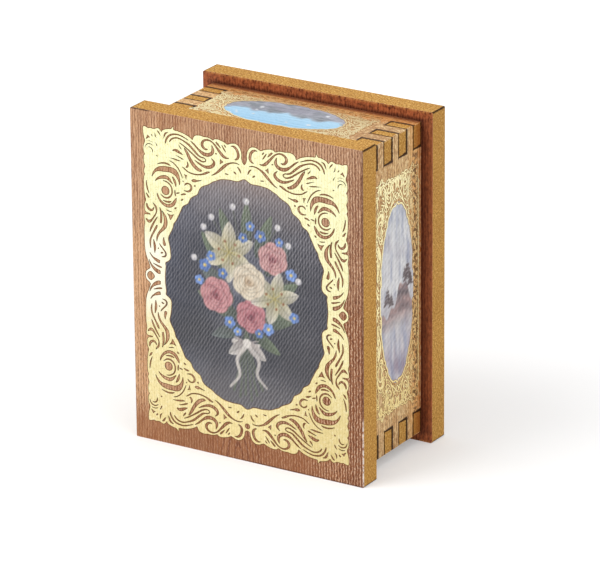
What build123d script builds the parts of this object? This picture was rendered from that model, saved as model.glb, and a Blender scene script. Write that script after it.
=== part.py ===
from build123d import *
import os

# Keepsake box for a rosary, standing on edge. Four comb-jointed boards make a shallow frame.
# A base plate is glued on behind it and a lift-off lid plate closes it in front.
# Millimetres. +Z is up, the lid faces -Y, and the origin is the middle of the underside.

# outside size
WIDTH = 64.0
HEIGHT = 84.0
DEPTH = 38.0

# board stock: fibreboard with a printed sheet pressed on one face
BOARD = 6.0
SHEET = 0.25

# how far the plates stand out past the frame
SIDE_OVERHANG = 3.0
END_OVERHANG = 2.5

# comb joint at each corner of the frame
SIDE_TENON = 3.1
END_TENON = 3.7
SIDE_TENON_COUNT = 3
JOINT_GAP = 0.1

# locating board inside the lid
LOCATING_CLEARANCE = 0.25
LOCATING_CORNER_RADIUS = 1.0
LOCATING_LEAD_IN = 0.6

# broken edges
TENON_CHAMFER = 0.15
SHEET_CHAMFER = 0.1
PLATE_CHAMFER = 0.2

# a length below any real one, for telling planes apart
NEAR = 0.001

# planes that the pieces share
CORE = BOARD - SHEET
LID_FACE_Y = -DEPTH / 2
RIM_Y = LID_FACE_Y + BOARD
BACK_Y = DEPTH / 2
SEAT_Y = BACK_Y - BOARD
FRAME_X = WIDTH / 2 - SIDE_OVERHANG
FRAME_BOTTOM_Z = END_OVERHANG
FRAME_TOP_Z = HEIGHT - END_OVERHANG
INSIDE_X = FRAME_X - BOARD
INSIDE_BOTTOM_Z = FRAME_BOTTOM_Z + BOARD
INSIDE_TOP_Z = FRAME_TOP_Z - BOARD
COMB_PITCH = SIDE_TENON + END_TENON


def block(low, high):
    """A solid box between two opposite corners."""
    size = [b - a for a, b in zip(low, high)]
    middle = [(a + b) / 2 for a, b in zip(low, high)]
    return Pos(*middle) * Box(*size)


def side_tenon_spans():
    """Depth spans that the side walls' tenons fill, counted from the base."""
    tops = [SEAT_Y - END_TENON - i * COMB_PITCH for i in range(SIDE_TENON_COUNT)]
    return [(top - SIDE_TENON, top) for top in tops]


def end_tenon_spans():
    """Depth spans that the top and bottom walls' tenons fill: what the side tenons leave."""
    sides = sorted(side_tenon_spans())
    lows = [RIM_Y] + [high for low, high in sides]
    highs = [low for low, high in sides] + [SEAT_Y]
    return list(zip(lows, highs))


def opened(span):
    """A socket's span: the tenon's, with the joint's gap shared between its two flanks."""
    return span[0] - JOINT_GAP / 2, span[1] + JOINT_GAP / 2


def notch_ends(board, low_z, high_z):
    """Cut the side tenons' sockets through both ends of a top or bottom wall layer."""
    for span in side_tenon_spans():
        near_y, far_y = opened(span)
        board -= block((INSIDE_X, near_y, low_z), (FRAME_X, far_y, high_z))
        board -= block((-FRAME_X, near_y, low_z), (-INSIDE_X, far_y, high_z))
    return board


def notch_sides(board, low_x, high_x):
    """Cut the top and bottom tenons' sockets through both ends of a side wall layer."""
    for span in end_tenon_spans():
        near_y, far_y = opened(span)
        board -= block((low_x, near_y, INSIDE_TOP_Z), (high_x, far_y, FRAME_TOP_Z))
        board -= block((low_x, near_y, FRAME_BOTTOM_Z), (high_x, far_y, INSIDE_BOTTOM_Z))
    return board


def end_layer(low_z, high_z):
    """One layer of a top or bottom wall, between two heights."""
    board = block((-FRAME_X, RIM_Y, low_z), (FRAME_X, SEAT_Y, high_z))
    return notch_ends(board, low_z, high_z)


def side_layer(low_x, high_x):
    """One layer of a side wall, between two distances across."""
    board = block((low_x, RIM_Y, FRAME_BOTTOM_Z), (high_x, SEAT_Y, FRAME_TOP_Z))
    return notch_sides(board, low_x, high_x)


def in_plane(edge, axis, places):
    """True when both ends of an edge lie at one of the given places along an axis."""
    ends = [getattr(vertex, axis) for vertex in edge.vertices()]
    return any(all(abs(end - place) < NEAR for end in ends) for place in places)


def break_end_tenons(board):
    """Break the flank edges at the ends of a top or bottom wall's tenons."""
    edges = [e for e in board.edges().filter_by(Axis.Z) if in_plane(e, "X", (-FRAME_X, FRAME_X))]
    return chamfer(edges, TENON_CHAMFER)


def break_side_tenons(board):
    """Break the flank edges at the ends of a side wall's tenons."""
    ends = (FRAME_BOTTOM_Z, FRAME_TOP_Z)
    edges = [e for e in board.edges().filter_by(Axis.X) if in_plane(e, "Z", ends)]
    return chamfer(edges, TENON_CHAMFER)


def break_sheet(sheet, axis, place):
    """Break the outline of a wall's printed sheet on its outer face."""
    edges = [e for e in sheet.edges() if in_plane(e, axis, (place,))]
    return chamfer(edges, SHEET_CHAMFER)


def plate_layer(near_y, far_y):
    """One layer of a full-size plate, with its four corner edges broken."""
    plate = block((-WIDTH / 2, near_y, 0), (WIDTH / 2, far_y, HEIGHT))
    return chamfer(plate.edges().filter_by(Axis.Y), PLATE_CHAMFER)


def locating_board():
    """The board inside the lid that drops into the frame's mouth."""
    x = INSIDE_X - LOCATING_CLEARANCE
    low_z = INSIDE_BOTTOM_Z + LOCATING_CLEARANCE
    high_z = INSIDE_TOP_Z - LOCATING_CLEARANCE
    board = block((-x, RIM_Y, low_z), (x, RIM_Y + BOARD, high_z))
    board = fillet(board.edges().filter_by(Axis.Y), LOCATING_CORNER_RADIUS)
    return chamfer(board.faces().sort_by(Axis.Y)[-1].edges(), LOCATING_LEAD_IN)


top_sheet = end_layer(FRAME_TOP_Z - SHEET, FRAME_TOP_Z)
bottom_sheet = end_layer(FRAME_BOTTOM_Z, FRAME_BOTTOM_Z + SHEET)
left_sheet = side_layer(-FRAME_X, -FRAME_X + SHEET)
right_sheet = side_layer(FRAME_X - SHEET, FRAME_X)

nodes = {
    "lid_face_sheet": plate_layer(LID_FACE_Y, LID_FACE_Y + SHEET),
    "lid_board": plate_layer(LID_FACE_Y + SHEET, RIM_Y),
    "lid_locating_board": locating_board(),
    "top_wall": break_end_tenons(end_layer(INSIDE_TOP_Z, FRAME_TOP_Z - SHEET)),
    "top_wall_sheet": break_sheet(top_sheet, "Z", FRAME_TOP_Z),
    "bottom_wall": break_end_tenons(end_layer(FRAME_BOTTOM_Z + SHEET, INSIDE_BOTTOM_Z)),
    "bottom_wall_sheet": break_sheet(bottom_sheet, "Z", FRAME_BOTTOM_Z),
    "left_wall": break_side_tenons(side_layer(-FRAME_X + SHEET, -INSIDE_X)),
    "left_wall_sheet": break_sheet(left_sheet, "X", -FRAME_X),
    "right_wall": break_side_tenons(side_layer(INSIDE_X, FRAME_X - SHEET)),
    "right_wall_sheet": break_sheet(right_sheet, "X", FRAME_X),
    "base_face_sheet": plate_layer(SEAT_Y, SEAT_Y + SHEET),
    "base_board": plate_layer(SEAT_Y + SHEET, BACK_Y),
}

os.makedirs("parts", exist_ok=True)
for name, shape in nodes.items():
    export_step(shape, f"parts/{name}.step")
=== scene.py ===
import math

import bmesh
import bpy
import numpy as np
from mathutils import Matrix, Vector


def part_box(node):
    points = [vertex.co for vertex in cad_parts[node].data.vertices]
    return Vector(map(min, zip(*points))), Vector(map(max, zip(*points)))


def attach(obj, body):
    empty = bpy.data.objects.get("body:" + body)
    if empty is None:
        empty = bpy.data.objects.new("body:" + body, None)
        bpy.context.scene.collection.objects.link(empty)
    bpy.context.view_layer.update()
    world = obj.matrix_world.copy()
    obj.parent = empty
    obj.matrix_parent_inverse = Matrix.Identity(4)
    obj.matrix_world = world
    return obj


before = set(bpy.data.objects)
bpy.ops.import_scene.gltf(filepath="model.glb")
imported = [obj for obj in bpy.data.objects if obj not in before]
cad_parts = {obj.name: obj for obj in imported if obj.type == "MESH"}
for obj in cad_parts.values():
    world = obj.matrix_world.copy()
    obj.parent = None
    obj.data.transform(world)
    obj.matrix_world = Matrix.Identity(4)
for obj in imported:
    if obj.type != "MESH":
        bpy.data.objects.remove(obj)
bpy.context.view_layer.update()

MM = 0.001

# ---------------------------------------------------------------- places taken from the frame

LID_LOW, LID_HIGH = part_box("lid_face_sheet")
LEFT_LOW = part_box("left_wall_sheet")[0]
RIGHT_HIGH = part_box("right_wall_sheet")[1]
FRAME_LOW = Vector((LEFT_LOW.x, LEFT_LOW.y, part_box("bottom_wall_sheet")[0].z))
FRAME_HIGH = Vector((RIGHT_HIGH.x, RIGHT_HIGH.y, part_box("top_wall_sheet")[1].z))
INSIDE_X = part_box("right_wall")[0].x / MM
HALF_WIDTH = LID_HIGH.x / MM
HALF_HEIGHT = LID_HIGH.z / 2 / MM
HALF_INSIDE_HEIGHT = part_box("top_wall")[0].z / MM - HALF_HEIGHT
HALF_FRAME_WIDTH = FRAME_HIGH.x / MM
HALF_FRAME_HEIGHT = (FRAME_HIGH.z - FRAME_LOW.z) / 2 / MM

# comb joint, as the laser cut it, in millimetres
COMB_PITCH = 6.8
SIDE_TENON = 3.1
SIDE_TENON_MIDDLE_Y = 7.75
FIRST_TENON_Y = -9.4
SCORCH = 0.46

# print and foil, in millimetres
FOIL = 0.016
FOIL_STEP = 0.00008
SLIT_EASE = 0.06
LEAF_EASE = {1: -0.1, -1: 0.04}
LEAST_SLIT = 0.05
MERGE_WITHIN = 0.0005
DENT = 0.009
DENT_WIDTH = 0.36
DENT_STEP = 0.00001
PRINT = 0.006
PRINT_DOT = 0.26
RIB_PITCH = 0.757
WALL_RIB_PITCH = 0.835
PICTURE_RIB_PITCH = 1.67
TWILL = (1.07, -0.66)
WALL_TWILL = (0.4, -0.65)

# how many points a smooth line has on each stretch, and how many lumps a painted cloud's pattern has
FOIL_POINTS = 4
LINE_POINTS = 2
STEM_POINTS = 12
CLOUD_LUMPS = 24

# the ornaments sit a little off the middle, as they were stamped
LID_ORNAMENT_AT = (-0.22 * MM, LID_LOW.y, 42.44 * MM)
SIDE_ORNAMENT_Y = 1.65 * MM
END_ORNAMENT_X = 1.2 * MM
END_ORNAMENT_Y = 0.6 * MM
WIDE_SCALE = (1, 1)
END_SCALE = (0.985, 0.724)
PICTURE_HALF = (23.2, 29.6)

# ---------------------------------------------------------------- camera, light and floor

CAMERA_AZIMUTH = math.radians(31.704)
CAMERA_ELEVATION = math.radians(20.66)
CAMERA_ROLL = math.radians(-0.477)
CAMERA_DISTANCE = 1.15395
CAMERA_LENS = 289.175
CAMERA_SENSOR = 36
CAMERA_TARGET = Vector((0, 0, 38.4 * MM))
CAMERA_SIDESTEP = 2.624 * MM
CAMERA_RISE = -0.187 * MM

# each soft box: where it hangs, its size and its power
LAMPS = {
    "key_lamp": ((-0.75, -1.05, 1.75), 1.1, 21.5),
    "fill_lamp": ((1.3, -0.6, 0.9), 1.0, 5.6),
    "overhead_lamp": ((0.1, 0.1, 1.9), 1.2, 7),
}
SURROUND_STRENGTH = 0.58
WHITE = (1, 1, 1, 1)

FLOOR_SIZE = 6.0
FLOOR_COLOUR = (0.72, 0.72, 0.72, 1)
FLOOR_GLOW = 0.27
FLOOR_FAR_GLOW = 0.75
FLOOR_FADE = (160, 480)


def linear(share):
    """Linear light from everyday colour, both from 0 to 1."""
    return np.where(share <= 0.04045, share / 12.92, ((share + 0.055) / 1.055) ** 2.4)


def tone(red, green, blue):
    """A colour for a node, from its everyday 0-255 values."""
    return (*linear(np.array((red, green, blue)) / 255).tolist(), 1)


def place_camera():
    """The camera, at the fitted view of the box."""
    back = Vector((
        math.sin(CAMERA_AZIMUTH) * math.cos(CAMERA_ELEVATION),
        -math.cos(CAMERA_AZIMUTH) * math.cos(CAMERA_ELEVATION),
        math.sin(CAMERA_ELEVATION),
    ))
    level = Vector((math.cos(CAMERA_AZIMUTH), math.sin(CAMERA_AZIMUTH), 0))
    rise = back.cross(level)
    right = level * math.cos(CAMERA_ROLL) + rise * math.sin(CAMERA_ROLL)
    up = rise * math.cos(CAMERA_ROLL) - level * math.sin(CAMERA_ROLL)
    eye = CAMERA_TARGET + right * CAMERA_SIDESTEP + up * CAMERA_RISE + back * CAMERA_DISTANCE
    lens = bpy.data.cameras.new("camera")
    lens.sensor_fit = "HORIZONTAL"
    lens.sensor_width = CAMERA_SENSOR
    lens.lens = CAMERA_LENS
    camera = bpy.data.objects.new("camera", lens)
    camera.matrix_world = Matrix((
        (right.x, up.x, back.x, eye.x),
        (right.y, up.y, back.y, eye.y),
        (right.z, up.z, back.z, eye.z),
        (0, 0, 0, 1),
    ))
    bpy.context.scene.collection.objects.link(camera)
    bpy.context.scene.camera = camera


def hang_lamp(name, place, size, power):
    """A square soft box that faces the middle of the object."""
    light = bpy.data.lights.new(name, "AREA")
    light.shape = "SQUARE"
    light.size = size
    light.energy = power
    lamp = bpy.data.objects.new(name, light)
    lamp.location = place
    aim = Vector((0, 0, HALF_HEIGHT * MM)) - Vector(place)
    lamp.rotation_euler = aim.to_track_quat("-Z", "Y").to_euler()
    bpy.context.scene.collection.objects.link(lamp)


def light_studio():
    """Plain soft light: a high soft box to the left, two weaker ones, and an even surround."""
    for name, (place, size, power) in LAMPS.items():
        hang_lamp(name, place, size, power)
    world = bpy.data.worlds.new("studio")
    world.use_nodes = True
    sky = Nodes(world.node_tree)
    even = sky.tree.nodes["Background"]
    sky.feed(even.inputs["Color"], WHITE)
    sky.feed(even.inputs["Strength"], SURROUND_STRENGTH)
    bright = sky.node("Background", {"Color": WHITE, "Strength": 1})
    both = sky.node("MixShader", {0: sky.in_view(), 1: even.outputs[0], 2: bright.outputs[0]})
    sky.feed(sky.tree.nodes["World Output"].inputs["Surface"], both.outputs[0])
    bpy.context.scene.world = world


# ---------------------------------------------------------------- finishes


class Nodes:
    """A node tree being put together. Each call adds what it says and wires what it is given."""

    def __init__(self, tree):
        self.tree = tree

    def feed(self, socket, value):
        """Give a socket a link or a plain value."""
        if isinstance(value, bpy.types.NodeSocket):
            self.tree.links.new(value, socket)
        else:
            socket.default_value = value

    def node(self, kind, inputs=None, **settings):
        """One shader node, with its settings and what goes into it."""
        made = self.tree.nodes.new("ShaderNode" + kind)
        for key, value in settings.items():
            setattr(made, key, value)
        for key, value in (inputs or {}).items():
            self.feed(made.inputs[key], value)
        return made

    def math(self, operation, *values):
        """One step of arithmetic."""
        return self.node("Math", dict(enumerate(values)), operation=operation).outputs[0]

    def times(self, *values):
        """The product of the values."""
        product = values[0]
        for value in values[1:]:
            product = self.math("MULTIPLY", product, value)
        return product

    def scaled(self, value, by, plus):
        """The value times one number, plus another."""
        return self.math("MULTIPLY_ADD", value, by, plus)

    def fade(self, value, low, high):
        """0 at low and 1 at high, with soft ends."""
        inputs = {"Value": value, "From Min": low, "From Max": high}
        return self.node("MapRange", inputs, interpolation_type="SMOOTHSTEP").outputs[0]

    def in_view(self):
        """1 for what is looked at, straight on, in a gloss or through glass, and 0 for light on its way."""
        path = self.node("LightPath").outputs
        straight = self.math("MAXIMUM", path["Is Camera Ray"], path["Is Glossy Ray"])
        return self.math("MAXIMUM", straight, path["Is Transmission Ray"])


class Finish(Nodes):
    """A material being put together."""

    def __init__(self, name):
        self.material = bpy.data.materials.new(name)
        self.material.use_nodes = True
        super().__init__(self.material.node_tree)
        self.tree.nodes.clear()
        self.places = None

    def millimetres(self, scale=(1, 1, 1), shift=(0, 0, 0)):
        """Object coordinates in millimetres, stretched and shifted."""
        where = self.node("TexCoord").outputs["Object"]
        sizes = [share / MM for share in scale]
        return self.node("Mapping", {"Vector": where, "Scale": sizes, "Location": shift}).outputs[0]

    def axes(self):
        """The three object coordinates in millimetres, one by one."""
        if self.places is None:
            self.places = self.node("SeparateXYZ", {"Vector": self.millimetres()}).outputs
        return self.places

    def facing(self, axis):
        """1 where the surface faces along an axis, either way."""
        normals = self.node("SeparateXYZ", {"Vector": self.node("TexCoord").outputs["Normal"]}).outputs
        return self.fade(self.math("ABSOLUTE", normals[axis]), 0.5, 0.8)

    def noise(self, lumps, detail, roughness=0.5, shift=(0, 0, 0), distortion=0.0):
        """Noise of about 0 to 1, with its lumps to the millimetre: one number, or one for each axis."""
        scale = lumps if isinstance(lumps, (list, tuple)) else (lumps, lumps, lumps)
        return self.node("TexNoise", {
            "Vector": self.millimetres(scale, shift), "Scale": 1.0, "Detail": detail, "Roughness": roughness,
            "Distortion": distortion,
        }).outputs[0]

    def mix(self, factor, first, second):
        """From one colour to another, by a factor from 0 to 1."""
        made = self.node("Mix", data_type="RGBA", blend_type="MIX")
        for place, value in ((0, factor), (6, first), (7, second)):
            self.feed(made.inputs[place], value)
        return made.outputs[2]

    def cover(self, *parts):
        """The product of its parts. The part ("X", 4, 9) fades in along X, from 0 at 4 mm to 1 at 9 mm."""
        return self.times(*(
            self.fade(self.axes()[part[0]], *part[1:]) if isinstance(part, tuple) else part for part in parts
        ))

    def stain(self, colour, other, *parts):
        """Another colour laid over this one, as thickly as its cover."""
        return self.mix(self.cover(*parts), colour, other)

    def ramp(self, value, stops):
        """Colours at places from 0 to 1."""
        made = self.node("ValToRGB", {"Fac": value})
        ends = made.color_ramp.elements
        while len(ends) < len(stops):
            ends.new(0.5)
        for end, (place, colour) in zip(ends, stops):
            end.position = place
            end.color = colour
        return made.outputs[0]

    def bump(self, height, depth):
        """A surface normal from a height of 0 to 1, with its depth in millimetres."""
        return self.node("Bump", {"Height": height, "Distance": depth * MM}).outputs[0]

    def close(self, shader):
        """The finished material, with its shader."""
        self.feed(self.node("OutputMaterial").inputs["Surface"], shader.outputs[0])
        return self.material

    def surface(self, colour, roughness, normal, specular=0.5, metallic=0.0):
        """The finished material, as one solid surface."""
        return self.close(self.node("BsdfPrincipled", {
            "Base Color": colour, "Roughness": roughness, "Normal": normal, "Specular IOR Level": specular,
            "Metallic": metallic,
        }))


def ripple(finish, phase, sway, jitter):
    """A wave of 0 to 1 with one crest to each whole turn of the phase, uneven in its way."""
    phase = finish.scaled(finish.noise(0.09, 1.0), sway, phase)
    phase = finish.scaled(finish.noise((1.1, 1.1, 0.8), 2.0), jitter, phase)
    return finish.scaled(finish.math("SINE", finish.times(phase, math.tau)), 0.5, 0.5)


def rib_wave(finish, across, pitch):
    """The fine ribs pressed into a printed face, from 0 in a groove to 1 on a rib."""
    return ripple(finish, finish.math("DIVIDE", finish.axes()[across], pitch), 0.9, 1.25)


def twill_wave(finish, across, up, slant):
    """The slanting twill pressed into a printed picture."""
    places = finish.axes()
    phase = finish.scaled(places[up], slant[1], finish.times(places[across], slant[0]))
    return ripple(finish, phase, 0.6, 0.8)


def beyond(finish, half_across, half_up):
    """How far a point lies outside an upright rectangle round the box's middle, across and up."""
    x, _, z = finish.axes()
    height = finish.math("ABSOLUTE", finish.math("SUBTRACT", z, HALF_HEIGHT))
    past_side = finish.math("SUBTRACT", finish.math("ABSOLUTE", x), half_across)
    return past_side, finish.math("SUBTRACT", height, half_up)


def comb_scorch_and_gap_shade(finish):
    """Where the laser browned the comb joints, along each tenon's flanks and across its foot, with painted
    shade in the joints' gaps: each line is wider on one flank, the other way round on the top and bottom
    faces.
    """
    y = finish.axes()["Y"]
    past_side, past_end = beyond(finish, INSIDE_X, HALF_INSIDE_HEIGHT)
    from_tenon = finish.math("SUBTRACT", y, SIDE_TENON_MIDDLE_Y)
    # painted shade: the line widens on one flank of each tenon, where its gap lies in shadow
    lean = finish.scaled(finish.facing("Z"), 0.72, -0.36)
    uneven = finish.scaled(finish.math("SINE", finish.times(from_tenon, math.tau / COMB_PITCH)), lean, 0.96)
    ragged = finish.scaled(finish.noise(1.6, 3.0), SCORCH * 1.4, SCORCH * 0.35)
    width = finish.times(ragged, uneven)
    front = finish.fade(y, FIRST_TENON_Y + 0.2, FIRST_TENON_Y - 0.2)
    turn = finish.math("PINGPONG", from_tenon, COMB_PITCH / 2)
    flank = finish.scaled(front, COMB_PITCH, finish.math("SUBTRACT", turn, SIDE_TENON / 2))

    def near(distance):
        return finish.fade(finish.math("DIVIDE", finish.math("ABSOLUTE", distance), width), 1.0, 0.45)

    side_foot = finish.times(near(past_side), finish.fade(flank, SCORCH, 0.0))
    end_foot = finish.times(near(past_end), finish.fade(flank, -SCORCH, 0.0))
    lines = finish.math("MAXIMUM", near(flank), finish.math("MAXIMUM", side_foot, end_foot))
    in_corner = [finish.fade(past, -SCORCH, -SCORCH / 2) for past in (past_side, past_end)]
    return finish.times(lines, finish.times(*in_corner))


def corner_scorch(finish):
    """Where the laser turned the plates' four corners: a dark line along each corner edge."""
    past_corner = finish.math("MINIMUM", *beyond(finish, HALF_WIDTH, HALF_HEIGHT))
    ragged = finish.times(finish.noise(1.3, 2.0), 0.35)
    return finish.fade(finish.math("SUBTRACT", ragged, past_corner), 0.72, 0.3)


def bare_inside(finish):
    """1 on the walls' inner faces, where the board's smooth side shows."""
    past_side, past_end = beyond(finish, INSIDE_X, HALF_INSIDE_HEIGHT)
    return finish.times(finish.fade(past_side, 0.12, 0.02), finish.fade(past_end, 0.12, 0.02))


def flat_of_plate(finish):
    """1 on a plate's broad faces, and 0 on its cut edges."""
    return finish.facing("Y")


# fibreboard, cut and smooth, at its noise's places from 0 to 1
CUT_TONES = (
    (0.36, tone(110, 68, 24)), (0.46, tone(182, 130, 60)),
    (0.54, tone(206, 156, 80)), (0.64, tone(248, 212, 130)),
)
SMOOTH_TONES = ((0.3, tone(178, 134, 92)), (0.7, tone(196, 154, 110)))


def board_finish(name, scorch, smooth_side, base_shade_and_reflection=0.0):
    """Cut fibreboard: golden brown, with fine pale and dark fibres. Its smooth side is more even. Its top
    faces get bolder flecks and a darker touch as painted light, and toward the base it can take painted shade
    and painted orange reflection.
    """
    finish = Finish(name)
    flecks = finish.noise(2.0, 4.0, 0.8)
    cloud = finish.noise(0.14, 3.0)
    fibres = finish.noise(4.6, 2.0, 0.8, (13.8, 36.8, 23.0))
    pale = finish.noise(3.4, 3.0, 0.8, (30.6, 13.6, 6.8))
    # painted light: top faces get bolder flecks and a touch of darker tone than side faces
    level = finish.facing("Z")
    calm = finish.scaled(level, -0.3, 0.3)
    bold = finish.scaled(calm, -0.6, 0.68)
    cut = finish.stain(finish.ramp(flecks, CUT_TONES), tone(199, 146, 68), calm)
    cut = finish.stain(cut, tone(110, 68, 24), level, 0.08)
    cut = finish.stain(cut, tone(150, 96, 40), finish.fade(cloud, 0.35, 0.75), 0.22)
    cut = finish.stain(cut, tone(104, 62, 26), finish.fade(fibres, 0.6, 0.7), bold)
    cut = finish.stain(cut, tone(250, 224, 152), finish.fade(pale, 0.62, 0.7), bold)
    # painted shade and orange light reflected from the base, on the cut edges as they near it
    if base_shade_and_reflection:
        cut = finish.stain(cut, tone(158, 86, 32), ("Y", 6.5, 12.5), base_shade_and_reflection)
    smooth_board = finish.ramp(cloud, SMOOTH_TONES)
    smooth_board = finish.stain(smooth_board, tone(216, 180, 136), finish.fade(flecks, 0.38, 0.62), 0.5)
    smooth_board = finish.stain(smooth_board, tone(124, 84, 50), finish.fade(fibres, 0.58, 0.68), 0.55)
    smooth_board = finish.stain(smooth_board, tone(236, 206, 164), finish.fade(pale, 0.58, 0.68), 0.4)
    colour = finish.mix(smooth_side(finish), cut, smooth_board)
    # browned cuts, and for the comb joints painted shade in their gaps
    colour = finish.stain(colour, tone(38, 17, 5), scorch(finish), 0.94)
    return finish.surface(colour, 0.66, finish.bump(flecks, 0.06), specular=0.1)


def grain_of(finish, along):
    """Printed grain that runs along one axis: slow bands, fine streaks and short dark pores."""
    slow, fine, short = (
        [with_grain if axis == along else across for axis in "xyz"]
        for with_grain, across in ((0.03, 0.36), (0.12, 2.8), (0.45, 4.6))
    )
    bands = finish.noise(slow, 3.0, 0.55, distortion=0.6)
    return bands, finish.noise(fine, 3.0, 0.6), finish.fade(finish.noise(short, 2.0, 0.65), 0.53, 0.66)


def printed_wood(name, tones, along, extra):
    """A printed wood sheet: dark, middle and light tones, its pore colour, and what else this sheet shows."""
    finish = Finish(name)
    *grain_tones, pore = tones
    bands, streaks, pores = grain_of(finish, along)
    colour = finish.ramp(bands, list(zip((0.3, 0.5, 0.7), grain_tones)))
    colour = finish.stain(colour, pore, finish.fade(streaks, 0.38, 0.68), 0.5)
    colour = finish.stain(colour, pore, pores, 0.66)
    colour, height = extra(finish, colour, finish.times(streaks, 0.4), pore)
    return finish.surface(colour, 0.5, finish.bump(height, 0.03), specular=0.16)


def pressed(finish, wave, colour, height, strength, groove, crest):
    """A wave pressed through the print, with painted shade in its grooves and a painted highlight on its
    crests.
    """
    colour = finish.stain(colour, groove, finish.fade(wave, 0.55, 0.05), strength)
    colour = finish.stain(colour, crest, finish.fade(wave, 0.5, 0.95), strength, 0.75)
    return colour, finish.scaled(wave, 0.8, height)


def arched_rings(finish, colour, dark, middle, foot):
    """The arched figure of a flat-sawn board, on its foot."""
    x, _, z = finish.axes()
    wander = finish.noise((0.16, 0.16, 0.06), 2.0)
    across = finish.scaled(wander, 5.0, finish.math("SUBTRACT", x, middle + 2.5))
    up = finish.times(finish.math("SUBTRACT", z, foot), 0.28)
    radius = finish.math("SQRT", finish.math("ADD", finish.times(across, across), finish.times(up, up)))
    rings = finish.fade(finish.math("SINE", finish.times(radius, 4.6)), 0.3, 1.0)
    return finish.stain(colour, dark, rings, finish.times(finish.fade(radius, 12.0, 2.0), 0.62))


def lid_print_extra(finish, colour, height, _):
    """The lid: painted light, from a paler tan at the left to a darker mauve at the right and a darker,
    redder foot, with a painted highlight down the left, and arches, ribs and worn edges.
    """
    x, _, z = finish.axes()
    # painted light: paler toward the left, where the light comes from, and darker toward the right
    colour = finish.stain(colour, tone(150, 103, 80), ("X", -26.0, 6.0), 0.5)
    # painted shade: darker and redder at the foot, reaching higher on the right
    rise = finish.times(finish.cover(("X", 10.0, 28.5)), 34.0)
    rise = finish.scaled(finish.cover(("X", -29.0, -22.0)), 2.0, rise)
    foot_shade = finish.fade(finish.math("SUBTRACT", z, rise), 13.5, 4.5)
    colour = finish.stain(colour, tone(150, 87, 48), foot_shade, 0.62)
    # painted highlight: a paler band down the left edge, over its middle height
    colour = finish.stain(
        colour, tone(244, 192, 140), ("X", -25.0, -29.5), ("Z", 4.0, 14.0), ("Z", 57.0, 47.0), 0.3
    )
    # painted shade: darker along the right margin, more so lower down
    right_shade = finish.scaled(finish.cover(("Z", 56.0, 46.0)), 0.12, 0.17)
    colour = finish.stain(colour, tone(108, 60, 38), right_shade, ("X", 26.0, 28.8))
    off_left = finish.math("ABSOLUTE", finish.math("ADD", x, 17.0))
    colour = finish.stain(colour, tone(112, 66, 46), finish.fade(off_left, 9.0, 4.0), ("Z", 9.0, 4.0), 0.2)
    colour = finish.stain(colour, tone(232, 186, 144), ("Z", 76.0, 80.0), ("X", -4.0, 2.0), 0.2)
    colour = arched_rings(finish, colour, tone(104, 52, 40), -3.0, -2.0)
    strength = finish.scaled(finish.cover(("X", -24.0, 26.0)), 0.2, 0.26)
    strength = finish.scaled(finish.cover(("Z", 76.0, 20.0)), 0.08, strength)
    at_foot = finish.scaled(finish.cover(("Z", 9.0, 4.5), ("X", 24.0, 14.0)), -0.55, 1.0)
    beads = finish.scaled(finish.fade(finish.noise((1.9, 1.9, 1.3), 3.0, 0.75), 0.38, 0.62), 1.6, 0.1)
    strength = finish.times(strength, at_foot, beads)
    ribs = rib_wave(finish, "X", RIB_PITCH)
    # painted shade in the rib grooves and painted highlight on the crests
    colour, height = pressed(finish, ribs, colour, height, strength, tone(92, 52, 38), tone(248, 210, 176))
    return worn_edges(finish, colour), height


def worn_edges(finish, colour):
    """The lid print's edges: chipped pale low on the right, darkened above that, at the foot and at the top.
    """
    ragged = finish.noise((1.4, 1.4, 1.26), 2.0)
    chips = finish.times(finish.fade(ragged, 0.4, 0.54), 0.8)
    chipped = (("X", HALF_WIDTH - 0.3, HALF_WIDTH - 0.18), ("Z", 18.0, 15.5))
    colour = finish.stain(colour, tone(244, 236, 226), finish.cover(*chipped), chips)
    right = finish.cover(("X", HALF_WIDTH - 0.42, HALF_WIDTH - 0.2), ("Z", 15.5, 18.0))
    foot = finish.cover(("Z", 0.45, 0.2), ("X", -14.0, 6.0))
    uneven = finish.scaled(ragged, 1.1, 0.1)
    colour = finish.stain(colour, tone(86, 44, 24), finish.math("MAXIMUM", right, foot), uneven)
    head = ("Z", 2 * HALF_HEIGHT - 0.35, 2 * HALF_HEIGHT - 0.15)
    return finish.stain(colour, tone(64, 38, 26), head, ("X", -25.5, -27.5), 0.8)


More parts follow.
